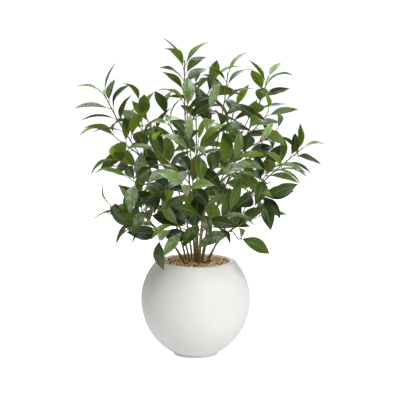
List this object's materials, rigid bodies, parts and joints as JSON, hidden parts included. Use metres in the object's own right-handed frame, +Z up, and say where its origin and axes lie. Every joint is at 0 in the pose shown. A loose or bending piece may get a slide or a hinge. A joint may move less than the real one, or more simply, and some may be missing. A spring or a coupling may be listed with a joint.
{
  "type": "bay laurel in a pot",
  "caption": "Bay laurel bush of leafy stems standing in gravel in a round matt white ceramic ball pot with a low foot.",
  "frame": {"origin": "centre of the pot's flat underside", "axes": "+Z up along the pot's axis, -Y towards the side that the picture shows, +X to the right as seen from there"},
  "size_m": [0.4711, 0.4354, 0.6049],
  "materials": {
    "pot_ceramic": "matt white",
    "soil": "rough dark potting mix, hidden under the gravel",
    "gravel": "small tan and brown stones",
    "foliage": "leathery green leaves on brown-green woody shoots"
  },
  "bodies": {
    "root": {"pot": "pot_ceramic", "soil": "soil", "gravel": "gravel", "stem_upper_left": "foliage", "stem_top": "foliage", "stem_upper_right": "foliage", "stem_right": "foliage", "stem_far_right": "foliage", "stem_low_right": "foliage", "stem_low_left": "foliage", "stem_left_low": "foliage", "stem_left": "foliage", "stem_front": "foliage", "stem_front_low": "foliage", "stem_back_left": "foliage", "stem_back": "foliage", "stem_back_right": "foliage"}
  },
  "joints": []
}
